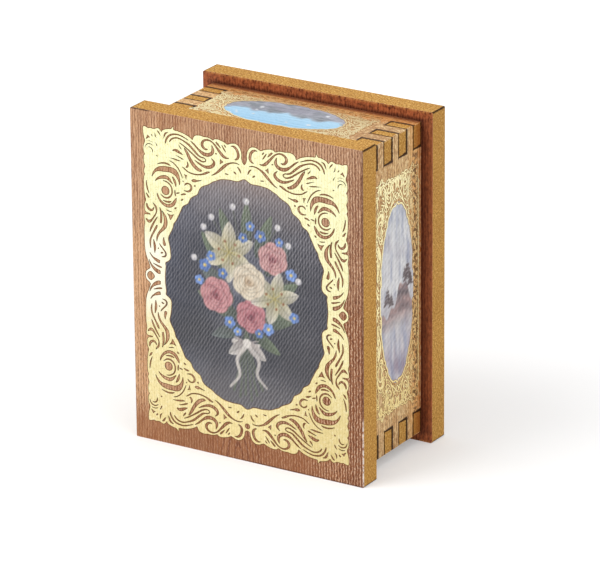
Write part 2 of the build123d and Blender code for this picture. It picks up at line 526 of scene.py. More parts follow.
def wall_print_extra(finish, colour, height, dark):
    """The walls: faint ribs, a speckled print, painted orange reflection and painted shade toward the base,
    painted shade toward the right of the end walls, and the comb joints' browned cuts with painted shade in
    their gaps.
    """
    ends = finish.facing("Z")
    # painted shade: the end walls darker toward their right
    colour = finish.stain(colour, tone(146, 104, 64), ("X", -14.0, 22.0), ends, 0.6)
    # painted light and shade: orange reflected from the base, then darker where the wall meets it
    colour = finish.stain(colour, tone(212, 128, 46), ("Y", 6.0, 11.0), 0.84)
    colour = finish.stain(colour, tone(120, 52, 22), ("Y", 11.4, 13.2), 0.6)
    specks = finish.noise((1.32, 1.32, 0.88), 3.0, 0.8)
    pale = finish.scaled(finish.cover(("Y", 8.0, 10.5)), -0.4, 0.82)
    burnt = finish.scaled(finish.cover(("Y", 7.0, 9.0)), -0.36, 0.76)
    colour = finish.stain(colour, tone(252, 228, 172), finish.fade(specks, 0.53, 0.63), pale)
    dark_speck = finish.mix(0.4, dark, tone(44, 20, 4))
    colour = finish.stain(colour, dark_speck, finish.fade(specks, 0.47, 0.37), burnt)
    colour = base_reflection_and_shade(finish, colour)
    # painted shade on the end walls next to the base
    end_contact_shade = finish.cover(("Y", 10.2, 12.3), ends)
    colour = finish.stain(colour, tone(96, 38, 18), end_contact_shade, 0.9)
    ribs = rib_wave(finish, "Y", WALL_RIB_PITCH)
    strength = finish.scaled(end_contact_shade, -0.3, 0.42)
    # painted shade in the rib grooves and painted highlight on the crests
    colour, height = pressed(finish, ribs, colour, height, strength, dark, tone(244, 210, 168))
    # browned comb joints, with painted shade in their gaps
    return finish.stain(colour, tone(48, 24, 8), comb_scorch_and_gap_shade(finish), 0.92), height


def base_reflection_and_shade(finish, colour):
    """Close to the base a wall takes painted orange reflection and dashes of painted shade; on the end walls
    the reflection is redder.
    """
    ends = finish.facing("Z")
    reflected_orange = finish.mix(ends, tone(255, 204, 130), tone(192, 124, 54))
    colour = finish.stain(colour, reflected_orange, ("Y", 6.6, 9.2), finish.scaled(ends, 0.2, 0.55), ("Y", 12.4, 10.8))
    shade_dashes = finish.fade(finish.noise((1.1, 1.15, 1.1), 2.0, 0.5, (5, 2, 8)), 0.52, 0.45)
    fewer = finish.scaled(ends, -0.6, 0.85)
    return finish.stain(colour, tone(86, 46, 14), ("Y", 8.2, 9.4), shade_dashes, ("Y", 11.6, 11.1), fewer)


def base_print_extra(finish, colour, height, dark):
    """The base: ribs, painted shade in a darker margin next to the walls, and painted light, paler and more
    orange, away from them.
    """
    past_side, past_end = beyond(finish, HALF_FRAME_WIDTH, HALF_FRAME_HEIGHT)
    # painted light: paler and more orange beyond the walls' ends and away from their sides
    colour = finish.stain(colour, tone(196, 108, 62), finish.fade(past_end, 0.0, 1.2), 0.36)
    colour = finish.stain(colour, tone(182, 110, 70), finish.fade(past_side, 1.6, 3.0), 0.5)
    mottle = finish.noise((1.4, 1.4, 0.9), 3.0, 0.7)
    lively = finish.scaled(finish.fade(past_end, -1.0, 1.0), 0.35, 0.4)
    colour = finish.stain(colour, tone(196, 112, 70), finish.fade(mottle, 0.5, 0.64), lively)
    colour = finish.stain(colour, dark, finish.fade(mottle, 0.5, 0.36), lively)
    worn = finish.fade(mottle, 0.4, 0.56)
    colour = finish.stain(colour, tone(206, 148, 80), finish.fade(past_end, 1.9, 2.4), worn, 0.6)
    # painted shade close around the walls
    margin = finish.math("MAXIMUM", past_side, finish.times(past_end, 2.0))
    colour = finish.stain(colour, tone(64, 22, 14), finish.fade(margin, 2.1, 0.2), 0.72)
    # painted shade in the rib grooves and painted highlight on the crests
    return pressed(finish, rib_wave(finish, "X", RIB_PITCH), colour, height, 0.16, dark, tone(198, 128, 84))


def gold_finish(name, head, foot, shade, metallic, across, painted_light):
    """Hot-stamped gold foil, mottled, speckled and ribbed, with a painted reflection from the tone of its
    head to that of its foot, and painted shade in its rib grooves.
    """
    finish = Finish(name)
    z = finish.axes()["Z"]
    # painted reflection: paler high up, darker toward the foot
    share = finish.scaled(finish.noise(0.06, 3.0), 18.0, finish.math("SUBTRACT", z, 9.0))
    colour = finish.mix(finish.fade(share, 64.0, 6.0), head, foot)
    mottle = finish.noise(1.5, 4.0, 0.65, (3.0, 9.0, 4.5))
    colour = finish.stain(colour, shade, finish.fade(mottle, 0.5, 0.74), 0.4)
    colour = finish.stain(colour, tone(255, 252, 226), finish.fade(mottle, 0.48, 0.34), 0.35)
    wave = rib_wave(finish, across, RIB_PITCH)
    # painted shade in the rib grooves
    colour = finish.stain(colour, shade, finish.fade(wave, 0.5, 0.0), 0.24)
    specks = finish.fade(finish.noise(3.2, 2.0, 0.8, (12.8, 3.2, 22.4)), 0.62, 0.7)
    colour = finish.stain(colour, tone(176, 132, 66), specks, 0.7)
    # painted light for each use: glare, shade and reflection
    colour, metallic = painted_light(finish, colour, metallic)
    grain = finish.noise(2.6, 3.0, 0.7)
    bump = finish.bump(finish.scaled(wave, 0.4, grain), 0.014)
    return finish.surface(colour, finish.scaled(grain, 0.25, 0.2), bump, metallic=metallic)


def lid_foil_glare_and_shade(finish, colour, metallic):
    """The lid's foil: painted shade, duller at its lower right, and a painted highlight, pale at the middle
    of its left side.
    """
    # painted shade at the lower right
    colour = finish.stain(colour, tone(190, 164, 92), ("X", 4.0, 22.0), ("Z", 34.0, 14.0), 0.24)
    # painted highlight: a pale glare at the middle of the left side
    glare = finish.cover(("Z", 28.0, 38.0), ("Z", 58.0, 48.0), ("X", -19.0, -25.0))
    return finish.stain(colour, tone(254, 252, 244), glare, 0.6), metallic


def wall_foil_shade(finish, colour, metallic):
    """The walls' foil: painted shade, duller on the end walls and most of all toward their right, and painted
    reflection and shade near the base, where it is also less metallic.
    """
    # painted shade toward the right of the end walls
    end_wall_shade = finish.scaled(finish.cover(("X", -10.0, 20.0)), 0.2, 0.2)
    colour = finish.stain(colour, tone(170, 126, 76), end_wall_shade, finish.facing("Z"))
    return base_reflection_and_shade(finish, colour), finish.scaled(finish.cover(("Y", 6.5, 9.5)), -0.6, metallic)


def dent_shade_finish(name, colour):
    """The dark line along the foil's edges, where the hot stamp pressed a dent: partly browned print, partly
    painted shade in the dent.
    """
    finish = Finish(name)
    ragged = finish.noise(2.2, 3.0, 0.7)
    shade = finish.stain(colour, tone(176, 122, 78), finish.fade(ragged, 0.3, 0.75), 0.4)
    return finish.surface(shade, 0.7, finish.bump(ragged, 0.02), specular=0.2)


def picture_finish(name, across, up, pitch, slant, ribs, twill):
    """A printed picture: its painted colours, with the sheet's ribs and twill pressed through them."""
    finish = Finish(name)
    paint = finish.node("Attribute", attribute_name="paint").outputs["Color"]
    dots = finish.noise(3.4, 2.0, 0.7)
    colour = finish.stain(paint, finish.mix(dots, tone(20, 20, 26), tone(236, 232, 236)), 0.1)
    height = finish.times(dots, 0.3)
    patchy = finish.scaled(finish.noise(0.06, 1.0), 1.6, 0.1)
    ribs = finish.times(finish.scaled(finish.cover(("Z", 30.0, 68.0)), 1.0, 0.5), ribs)
    rib, slanting = rib_wave(finish, across, pitch), twill_wave(finish, across, up, slant)
    for wave, strength in ((rib, ribs), (slanting, twill)):
        strength = finish.times(strength, patchy)
        # painted shade and painted highlight for the pressed ribs and twill
        groove = finish.mix(0.8, colour, tone(20, 22, 30))
        crest = finish.mix(0.5, colour, tone(236, 232, 238))
        colour, height = pressed(finish, wave, colour, height, strength, groove, crest)
    return finish.surface(colour, 0.45, finish.bump(height, 0.03), specular=0.25)


def floor_finish():
    """A white floor that still takes the box's shadow."""
    finish = Finish("floor_white")
    diffuse = finish.node("BsdfDiffuse", {"Color": FLOOR_COLOUR})
    away = finish.node("VectorMath", {"Vector": finish.millimetres()}, operation="LENGTH").outputs["Value"]
    strength = finish.scaled(finish.fade(away, *FLOOR_FADE), FLOOR_FAR_GLOW - FLOOR_GLOW, FLOOR_GLOW)
    glow = finish.node("Emission", {"Strength": finish.times(finish.in_view(), strength)})
    return finish.close(finish.node("AddShader", {0: diffuse.outputs[0], 1: glow.outputs[0]}))


# ---------------------------------------------------------------- the ornament's quarter, in millimetres

# from the middle: how far across, how far up
FOIL_RIM = [
    (28.2, 0.0), (28.2, 0.4), (28.0, 0.95), (27.6, 1.35), (27.1, 1.7), (26.85, 2.05), (26.95, 2.6),
    (27.15, 3.2), (27.45, 3.9), (27.75, 4.6), (28.0, 5.4), (28.2, 6.4), (28.3, 8.0), (28.32, 10.0),
    (28.3, 12.0), (28.1, 13.2), (28.3, 14.6), (28.15, 15.3), (27.5, 15.4), (26.8, 15.45), (26.45, 15.6),
    (26.9, 15.85), (27.5, 15.95), (28.0, 16.3), (28.2, 17.2), (28.05, 18.2), (27.7, 19.05), (27.95, 20.0),
    (28.15, 21.5), (28.2, 23.5), (28.15, 24.8), (27.85, 25.5), (28.15, 26.2), (27.8, 27.6), (28.12, 28.5),
    (28.1, 30.0), (27.75, 30.5), (28.1, 31.2), (28.1, 32.6), (27.65, 33.85), (27.95, 34.9), (28.15, 36.2),
    (28.1, 37.35), (27.4, 37.4), (26.75, 37.15), (26.1, 37.3), (25.1, 37.2), (24.4, 37.5), (23.9, 37.6),
    (23.4, 37.3), (23.0, 36.85), (22.6, 37.3), (21.9, 37.65), (21.0, 37.9), (20.2, 38.05), (19.7, 38.65),
    (19.55, 37.9), (18.5, 37.75), (17.2, 37.55), (16.0, 37.2), (15.1, 36.8), (14.3, 36.35), (14.0, 37.0),
    (13.6, 37.45), (12.9, 37.7), (12.0, 37.75), (11.2, 37.6), (10.4, 37.65), (9.4, 37.5), (8.6, 37.2),
    (8.1, 37.55), (7.2, 37.65), (6.2, 37.45), (5.4, 37.2), (4.7, 36.85), (4.1, 37.0), (3.4, 37.3),
    (2.6, 37.4), (1.9, 37.2), (1.3, 36.65), (0.9, 35.8), (0.75, 34.9),
]
OPEN_MIDDLE = [(0.8, 34.1), (0.55, 33.2), (0.25, 32.75), (0.0, 32.55)]
CLOSED_MIDDLE = [(0.35, 34.55), (0.0, 34.45)]
PICTURE_RIM = [
    (22.75, 0.0), (22.7, 1.2), (22.6, 2.2), (22.5, 3.2), (22.6, 3.9), (22.35, 4.3), (21.7, 4.7), (21.2, 5.3),
    (21.05, 6.0), (21.1, 6.8), (21.2, 7.9), (21.4, 9.0), (21.65, 10.0), (21.6, 10.7), (21.2, 11.6),
    (20.7, 12.5), (20.3, 13.4), (20.05, 14.4), (19.5, 15.1), (18.9, 16.2), (18.4, 17.2), (17.95, 18.1),
    (17.6, 18.9), (17.1, 19.5), (16.3, 19.95), (15.75, 20.45), (15.45, 21.2), (14.9, 21.9), (14.1, 22.45),
    (13.3, 22.95), (12.95, 23.6), (12.6, 24.4), (12.1, 25.0), (11.3, 25.5), (10.4, 25.9), (9.6, 26.35),
    (8.9, 26.9), (8.0, 27.3), (7.2, 27.7), (6.3, 28.0), (5.2, 28.15), (4.0, 28.25), (2.6, 28.22), (1.7, 28.3),
    (1.1, 28.65), (0.5, 28.95), (0.0, 29.1),
]
SIDE_EYE = [
    (27.85, 0.0), (27.7, 0.5), (27.3, 0.95), (26.85, 1.15),
    (26.4, 1.0), (25.95, 0.6), (25.7, 0.25), (25.6, 0.0),
]
ROUND_EYE = (22.15, 22.35, 1.15)
MIDDLE_EYE = (0.0, 33.35, 0.72)

# each slit follows its line: across, up, and how wide the foil is open there
LEAF_SLITS = [
    [(27.2, 33.85, .1), (26.6, 34.02, .2), (26.0, 34.0, .2), (25.4, 33.75, .1)],
    [(26.0, 35.85, .15), (25.75, 35.6, .4), (25.5, 35.3, .2)],
    [(24.85, 36.45, .1), (24.8, 35.9, .35), (24.7, 35.45, .35), (24.3, 35.05, .1)],
    [(24.3, 37.0, .1), (23.95, 36.8, .45), (23.6, 36.35, .4), (23.2, 35.8, .1)],
    [(22.5, 35.25, .1), (22.25, 35.9, .4), (22.05, 36.4, .55), (21.7, 36.8, .5), (21.0, 37.1, .1)],
    [(27.75, 31.9, .1), (27.6, 32.55, .25), (27.3, 33.0, .3), (26.8, 33.27, .3), (26.3, 33.35, .3),
     (25.8, 33.2, .25), (25.3, 32.9, .1)],
    [(26.95, 32.35, .1), (26.6, 32.5, .25), (26.2, 32.45, .3), (25.8, 32.15, .3), (25.6, 31.7, .35),
     (25.55, 31.15, .1)],
    [(24.9, 34.1, .1), (24.6, 33.7, .25), (24.4, 33.3, .35), (24.25, 33.0, .15)],
    [(24.6, 30.75, .15), (24.4, 30.65, .4), (24.15, 30.55, .15)],
    [(20.0, 32.7, .3), (19.4, 32.95, .65), (18.7, 32.85, .85), (18.0, 32.55, .7), (17.4, 32.3, .45),
     (16.95, 32.1, .1)],
    [(19.3, 31.75, .1), (18.6, 31.6, .25), (17.9, 31.35, .35), (17.25, 31.1, .4), (16.85, 30.95, .1)],
    [(21.1, 30.8, .1), (20.3, 30.75, .25), (19.6, 30.7, .4), (18.9, 30.6, .45), (18.2, 30.5, .35),
     (17.6, 30.5, .1)],
    [(18.2, 34.55, .1), (17.95, 34.05, .35), (17.65, 33.7, .4), (17.45, 33.4, .15)],
]
SLITS = [
    # top band
    [(15.9, 30.65, .1), (15.7, 30.1, .35), (15.78, 29.6, .5), (16.05, 29.3, .4), (16.35, 29.2, .1)],
    [(21.95, 34.15, .15), (21.8, 34.85, .4), (21.5, 35.5, .4), (21.1, 36.05, .45), (20.6, 36.45, .4),
     (19.95, 36.75, .4), (19.2, 36.9, .35), (18.3, 36.95, .3), (17.3, 36.75, .3), (16.3, 36.4, .22),
     (15.4, 36.05, .1)],
    [(20.8, 34.75, .12), (20.5, 35.2, .35), (20.1, 35.6, .35), (19.6, 35.88, .35), (19.0, 36.05, .35),
     (18.3, 36.08, .32), (17.5, 35.9, .3), (16.8, 35.65, .32), (16.1, 35.35, .4), (15.2, 34.85, .5),
     (14.3, 34.1, .5), (13.5, 33.4, .5), (12.7, 32.75, .42), (11.9, 32.46, .3), (11.2, 32.38, .22),
     (10.68, 31.98, .24), (10.92, 31.54, .24), (11.6, 31.4, .3), (12.4, 31.65, .4), (13.1, 32.0, .4),
     (13.8, 32.5, .38), (14.6, 33.05, .36), (15.5, 33.65, .32), (16.4, 34.2, .3), (17.2, 34.65, .25),
     (18.0, 35.0, .1)],
    # spiral and its arms
    [(10.05, 34.75, .15), (10.6, 34.65, .4), (11.2, 34.9, .6), (11.62, 35.5, .72), (11.55, 36.2, .65),
     (11.05, 36.75, .5), (10.3, 37.03, .42), (9.5, 37.0, .35), (8.8, 36.72, .32), (8.2, 36.25, .4),
     (7.6, 35.6, .5), (7.0, 34.95, .62), (6.35, 34.25, .72), (5.7, 33.72, .7), (5.0, 33.45, .42),
     (4.2, 33.5, .1)],
    [(8.95, 35.95, .1), (8.75, 35.3, .5), (8.65, 34.6, .75), (8.95, 33.95, .8), (9.6, 33.5, .85),
     (10.4, 33.32, .9), (11.2, 33.4, .88), (11.9, 33.72, .7), (12.6, 34.2, .5), (13.3, 34.8, .42),
     (14.0, 35.4, .4), (14.9, 36.0, .1)],
    [(16.68, 33.98, .1), (16.3, 33.45, .5), (15.85, 32.8, .7), (15.5, 32.15, .78), (15.1, 31.45, .82),
     (14.65, 30.8, .88), (14.1, 30.15, .92), (13.45, 29.6, .92), (12.8, 29.25, .8), (12.2, 29.1, .6),
     (11.75, 29.15, .2)],
    [(9.6, 29.15, .2), (10.2, 28.97, .45), (10.9, 28.6, .5), (11.6, 28.28, .36), (12.5, 28.02, .3),
     (13.5, 27.87, .3), (14.5, 27.92, .3), (15.3, 28.05, .26), (16.0, 28.3, .26), (16.6, 28.72, .3),
     (17.3, 29.15, .1)],
    [(9.15, 32.65, .1), (8.65, 32.25, .35), (8.35, 31.65, .68), (8.65, 31.0, .8), (9.35, 30.5, .8),
     (10.2, 30.25, .75), (11.0, 30.25, .62), (11.8, 30.45, .5), (12.6, 30.8, .42), (13.2, 31.1, .3),
     (13.75, 31.4, .1)],
    [(9.1, 28.45, .1), (8.3, 28.87, .3), (7.6, 29.4, .45), (6.9, 30.03, .58), (6.2, 30.7, .68),
     (5.5, 31.35, .7), (4.9, 31.83, .55), (4.3, 32.18, .4), (3.6, 32.47, .3), (2.9, 32.62, .26),
     (2.1, 32.62, .22), (1.3, 32.4, .1)],
    [(8.0, 34.15, .15), (7.8, 34.05, .3), (7.5, 34.0, .1)],
    # loop by the middle
    [(3.65, 36.62, .1), (3.0, 36.68, .4), (2.4, 36.4, .6), (1.95, 35.9, .66), (1.68, 35.2, .7),
     (1.6, 34.5, .72), (1.8, 33.95, .55), (2.2, 33.58, .35), (2.65, 33.45, .1)],
    [(7.8, 36.95, .3), (7.4, 36.6, .48), (6.95, 36.15, .36), (6.45, 35.65, .1)],
    [(6.2, 36.45, .1), (5.8, 35.9, .3), (5.4, 35.3, .3), (5.05, 34.85, .1)],
    [(5.55, 36.65, .1), (5.25, 36.35, .32), (4.95, 36.0, .1)],
    [(1.95, 31.8, .1), (1.5, 31.4, .35), (1.2, 30.98, .36), (0.95, 30.35, .15)],
    [(2.95, 30.45, .12), (2.6, 30.2, .42), (2.25, 29.9, .15)],
    [(5.4, 29.52, .1), (4.9, 29.5, .27), (4.4, 29.42, .1)],
    # rosette
    [(22.8, 24.75, .1), (22.0, 24.65, .25), (21.2, 24.32, .3), (20.62, 23.75, .34), (20.3, 23.0, .36),
     (20.28, 22.2, .36), (20.5, 21.5, .36), (20.95, 20.95, .4), (21.55, 20.62, .4), (22.2, 20.55, .38),
     (22.8, 20.7, .3), (23.6, 21.25, .1)],
    [(25.05, 24.25, .1), (24.6, 24.75, .35), (24.0, 25.18, .55), (23.3, 25.5, .75), (22.5, 25.68, .88),
     (21.8, 25.7, .88), (21.2, 25.4, .75), (20.7, 24.97, .55), (20.05, 24.3, .1)],
    [(20.15, 26.15, .2), (19.8, 25.7, .5), (19.48, 25.1, .62), (19.28, 24.5, .48), (19.15, 23.75, .1)],
    [(25.95, 25.25, .12), (25.6, 25.95, .35), (25.15, 26.65, .55), (24.55, 27.15, .8), (23.8, 27.5, 1.1),
     (22.9, 27.65, 1.35), (22.0, 27.75, 1.4), (21.1, 27.78, 1.35), (20.3, 27.75, 1.4), (19.45, 27.45, 1.45),
     (18.8, 26.8, 1.1), (18.4, 26.0, .75), (18.2, 25.3, .5), (18.12, 24.4, .12)],
    [(24.3, 28.65, .1), (23.6, 28.95, .25), (22.8, 29.15, .36), (22.0, 29.2, .38), (21.2, 29.08, .35),
     (20.6, 28.85, .12)],
    [(20.9, 30.05, .1), (20.2, 29.85, .2), (19.5, 29.48, .23), (18.8, 28.9, .25), (18.2, 28.2, .25),
     (17.75, 27.4, .25), (17.25, 26.3, .1)],
    [(24.55, 21.35, .1), (24.4, 20.8, .4), (24.1, 20.2, .45), (23.7, 19.62, .52), (23.15, 19.12, .6),
     (22.55, 18.78, .7), (21.9, 18.6, .78), (21.2, 18.65, .82), (20.55, 18.9, .85), (20.0, 19.35, .85),
     (19.6, 19.95, .75), (19.3, 20.5, .5), (19.1, 21.05, .1)],
    [(22.9, 19.75, .1), (22.2, 19.64, .34), (21.6, 19.6, .42), (21.05, 19.68, .42), (20.55, 19.88, .2)],
    [(19.48, 23.0, .1), (19.47, 22.4, .34), (19.4, 21.8, .32), (19.42, 21.4, .1)],
    [(19.15, 22.2, .1), (18.7, 22.3, .34), (18.15, 22.5, .12)],
    [(17.85, 22.0, .1), (17.35, 22.22, .36), (16.9, 22.36, .44), (16.35, 22.45, .15)],
    [(17.85, 20.6, .1), (17.5, 20.85, .42), (17.15, 21.1, .1)],
    [(19.7, 18.15, .1), (19.4, 18.38, .42), (19.1, 18.6, .1)],
    [(27.55, 24.0, .1), (27.5, 23.2, .3), (27.38, 22.5, .36), (27.2, 21.8, .34), (26.8, 20.8, .1)],
    [(27.65, 20.85, .1), (27.35, 20.4, .36), (27.1, 20.05, .45), (26.75, 19.7, .1)],
    # shoulder of the oval
    [(16.75, 24.55, .12), (16.45, 24.95, .36), (16.05, 25.2, .32), (15.5, 25.2, .28), (15.05, 24.95, .42),
     (14.82, 24.5, .5), (14.87, 24.0, .5), (15.2, 23.55, .5), (15.65, 23.25, .45), (16.2, 23.2, .3),
     (16.95, 23.3, .1)],
    [(13.98, 25.15, .2), (13.85, 24.95, .5), (13.75, 24.75, .2)],
    [(11.95, 26.65, .1), (12.7, 26.45, .26), (13.3, 26.3, .42), (13.9, 26.25, .75), (14.4, 26.2, .6),
     (14.8, 26.2, .15)],
    [(17.2, 25.75, .1), (17.12, 25.55, .28), (17.1, 25.35, .1)],
    # side arms
    [(27.5, 18.3, .12), (27.48, 17.8, .48), (27.3, 17.3, .56), (26.95, 16.9, .58), (26.4, 16.68, .55),
     (25.95, 16.85, .46), (25.65, 17.2, .34), (25.45, 17.6, .1)],
    [(25.75, 18.7, .1), (25.35, 18.2, .38), (25.0, 17.8, .48), (24.82, 17.2, .42), (24.82, 16.5, .27),
     (25.1, 15.85, .28), (25.6, 15.1, .34), (26.1, 14.4, .4), (26.5, 13.95, .6), (27.0, 13.75, .72),
     (27.45, 13.95, .5), (27.95, 14.4, .12)],
    [(24.55, 15.35, .1), (24.9, 14.8, .3), (25.3, 14.2, .36), (25.7, 13.55, .44), (26.05, 12.9, .46),
     (26.35, 12.3, .48), (26.6, 11.75, .38), (26.8, 11.1, .1)],
    [(24.65, 13.25, .15), (24.88, 12.75, .52), (25.2, 12.15, .5), (25.6, 11.45, .45), (26.0, 10.75, .4),
     (26.4, 9.95, .4), (26.68, 9.15, .44), (26.76, 8.4, .4), (26.7, 7.7, .3), (26.6, 7.05, .1)],
    [(23.9, 17.85, .1), (23.65, 17.15, .42), (23.5, 16.3, .55), (23.48, 15.4, .58), (23.55, 14.6, .58),
     (23.65, 13.85, .45)],
    [(23.25, 17.1, .1), (22.75, 16.3, .48), (22.38, 15.5, .78), (22.25, 14.8, .98), (22.28, 14.1, 1.05),
     (22.45, 13.4, 1.0), (22.85, 12.75, .85), (23.4, 12.15, .7), (24.0, 11.5, .58), (24.45, 10.8, .5),
     (24.75, 10.0, .44), (24.88, 9.0, .1)],
    [(22.0, 17.5, .1), (21.5, 17.4, .2), (21.1, 17.32, .2), (20.5, 17.35, .08)],
    [(22.9, 10.45, .1), (22.92, 9.9, .4), (22.85, 9.3, .62), (22.72, 8.75, .8), (22.6, 8.3, .5)],
    [(25.8, 9.45, .1), (25.65, 8.8, .4), (25.52, 8.1, .64), (25.45, 7.4, .6), (25.48, 6.8, .48),
     (25.5, 6.0, .1)],
    [(24.15, 8.65, .1), (23.8, 8.15, .3), (23.3, 7.62, .3), (22.8, 7.1, .34), (22.42, 6.6, .4),
     (22.35, 6.1, .42), (22.55, 5.72, .4), (22.95, 5.5, .32), (23.6, 5.38, .1)],
    [(23.85, 6.25, .15), (23.5, 6.42, .4), (23.1, 6.5, .15)],
    [(24.6, 7.5, .15), (24.48, 7.38, .36), (24.35, 7.25, .15)],
    [(26.95, 5.95, .1), (26.6, 5.4, .25), (26.2, 4.97, .32), (25.7, 4.62, .5), (25.1, 4.32, .74),
     (24.5, 4.08, .82), (24.05, 4.0, .7)],
    [(26.05, 3.32, .1), (25.4, 3.1, .25), (24.8, 2.9, .36), (24.2, 2.75, .42), (23.6, 2.65, .3)],
    [(27.2, 4.15, .1), (26.95, 3.5, .3), (26.6, 2.9, .42), (26.1, 2.32, .62), (25.5, 1.85, .85),
     (24.85, 1.5, .98), (24.3, 1.35, 1.0), (23.95, 1.35, .7)],
]
NOTCHES = [
    [(21.8, 16.7), (21.3, 16.55), (20.8, 16.5), (20.3, 16.6), (19.9, 16.8), (20.2, 16.1), (20.6, 15.5),
     (20.92, 15.1), (21.15, 15.6), (21.4, 16.1)],
    [(6.55, 33.0), (6.3, 32.65), (5.75, 32.35), (6.2, 32.0), (6.7, 31.6), (6.7, 32.3)],
    [(27.45, 34.4), (27.15, 35.0), (26.85, 35.55), (26.55, 35.2), (26.15, 34.95), (26.7, 34.8),
     (27.0, 34.55)],
    [(16.9, 27.4), (16.4, 27.3), (16.0, 27.3), (16.15, 26.7), (16.25, 26.0), (16.45, 26.5), (16.6, 27.0)],
]

# the walls carry the same ornament squeezed to a tall shape, in gold lines on the bare print, in millimetres
WALL_SQUEEZE = (0.348, 0.782)
WALL_LINE = (0.15, 0.4)
WALL_RIM_WIDTH = 0.4
WALL_EDGE_WIDTH = 0.26
WALL_HALF = (7.7, 22.8)
WALL_SPILL = 0.2
WALL_EDGE = (9.75, 28.3)
SCALLOP = 1.42
SCALLOP_COUNT = (18, 6)
SCALLOP_POINTS = 7
# a scallop row: how far in from the edge, how far it bulges out, and its width
SCALLOP_OUTER = (0.0, 0.45, 0.26)
SCALLOP_INNER = (0.5, -0.4, 0.2)
SCALLOP_END = (0.0, 0.5, 0.26)
WALL_LIFT = 0.05
WALL_PENDANTS = [
    [(4.7, 24.4, .15), (5.4, 26.6, .3), (6.3, 28.8, .36), (7.1, 30.5, .44), (7.9, 29.2, .36), (8.7, 26.8, .3),
     (9.3, 24.0, .15)],
    [(0.0, 23.5, .3), (1.5, 25.0, .34), (2.9, 27.0, .34), (4.3, 29.2, .2)],
    [(3.9, 20.9, .2), (2.6, 22.6, .32), (1.2, 24.0, .34), (0.0, 25.2, .3)],
    [(1.1, 25.8, .2), (0.5, 27.0, .3), (1.2, 28.3, .3), (2.1, 27.3, .3), (1.6, 26.1, .2)],
    [(3.4, 24.6, .2), (2.9, 26.2, .3), (3.6, 27.9, .3), (4.6, 26.5, .3), (4.2, 24.8, .2)],
    [(5.6, 19.4, .2), (4.9, 21.6, .3), (5.6, 23.9, .32), (6.9, 22.6, .32), (6.8, 20.4, .2)],
    [(7.2, 14.6, .2), (7.6, 17.6, .32), (7.1, 20.6, .32), (8.4, 22.6, .34), (9.3, 19.6, .32),
     (8.6, 16.4, .2)],
    [(8.2, 8.4, .2), (8.9, 10.8, .32), (8.3, 13.4, .3), (9.3, 15.2, .2)],
    [(0.12, 26.4, .2), (0.5, 27.4, .45), (0.3, 28.5, .5), (0.08, 29.4, .2)],
    [(3.1, 28.4, .15), (3.5, 29.3, .4), (4.0, 29.8, .15)],
    [(7.0, 26.2, .15), (7.4, 27.4, .3), (7.6, 28.4, .35), (7.9, 27.4, .3), (8.1, 26.4, .15)],
]


# ---------------------------------------------------------------- gold foil, cut and laid on its face


def smooth(points, steps, closed=False):
    """A smooth line through the points, as a Catmull-Rom curve."""
    row = np.array(points, float)
    before, after = (row[-1:], row[:2]) if closed else (2 * row[:1] - row[1:2], 2 * row[-1:] - row[-2:-1])
    row = np.concatenate([before, row, after])
    t = (np.arange(steps) / steps)[None, :, None]
    a, b, c, d = (row[k:len(row) - 3 + k][:, None] for k in range(4))
    line = 0.5 * (2 * b + (c - a) * t + (2 * a - 5 * b + 4 * c - d) * t**2 + (3 * b - a - 3 * c + d) * t**3)
    line = line.reshape(-1, row.shape[1])
    return line if closed else np.concatenate([line, row[-2:-1]])


def slit_outline(slit, steps, ease=0.0):
    """The outline of a slit, from its line and its width along it, opened by a little more."""
    run = smooth(slit, steps)
    line, half = run[:, :2], np.maximum(run[:, 2:] + ease, LEAST_SLIT) / 2
    along = np.gradient(line, axis=0)
    along /= np.linalg.norm(along, axis=1)[:, None]
    side = np.stack([-along[:, 1], along[:, 0]], 1) * half
    return np.concatenate([line + side, (line - side)[::-1]])


def of_width(points, width):
    """A line through the points, of one width all along."""
    return np.column_stack([points, np.full(len(points), width)])


def ring(across, up, radius, steps):
    """A round opening, from its middle and its radius."""
    turn = np.arange(8 * steps) / (8 * steps) * math.tau
    return np.stack([across + radius * np.cos(turn), up + radius * np.sin(turn)], 1)


def mirrored(loop, across, up):
    """A quarter's points in another quarter: each sign is 1 or -1."""
    return loop * (across, up)


def all_round(upper, lower):
    """A whole outline, from its quarter above the middle line and its quarter below."""
    return np.concatenate([
        upper[:-1], mirrored(upper, -1, 1)[::-1][:-1],
        mirrored(lower, -1, -1)[:-1], mirrored(lower, 1, -1)[::-1][:-1],
    ])


def foil_outlines(steps):
    """Every outline of the ornament: its rim, the picture's opening, and the openings within it."""
    upper = smooth(FOIL_RIM + OPEN_MIDDLE, steps)
    lower = smooth(FOIL_RIM + CLOSED_MIDDLE, steps)
    opening = smooth(PICTURE_RIM, steps)
    half_eye = smooth(SIDE_EYE, steps)
    eye = np.concatenate([half_eye[:-1], mirrored(half_eye, 1, -1)[::-1][:-1]])
    loops = [all_round(upper, lower), all_round(opening, opening), eye, mirrored(eye, -1, 1)]
    loops.append(mirrored(ring(*MIDDLE_EYE, steps), 1, -1))
    quarter = [slit_outline(slit, steps, SLIT_EASE) for slit in SLITS]
    quarter += [smooth(notch, steps, closed=True) for notch in NOTCHES]
    quarter.append(ring(*ROUND_EYE, steps))
    for up in (1, -1):
        leaf = [slit_outline(slit, steps, LEAF_EASE[up]) for slit in LEAF_SLITS]
        for across in (1, -1):
            loops += [mirrored(loop, across, up) for loop in quarter + leaf]
    return loops


def lay_on(shape, face):
    """Turn a flat shape, drawn in millimetres, into its place on a face of the box."""
    origin, across, up = face
    out = Vector(across).cross(Vector(up))
    place = Matrix.Identity(4)
    for column, axis in enumerate((across, up, out)):
        for line in range(3):
            place[line][column] = axis[line] * MM
    for line in range(3):
        place[line][3] = origin[line]
    bmesh.ops.transform(shape, matrix=place, verts=shape.verts)


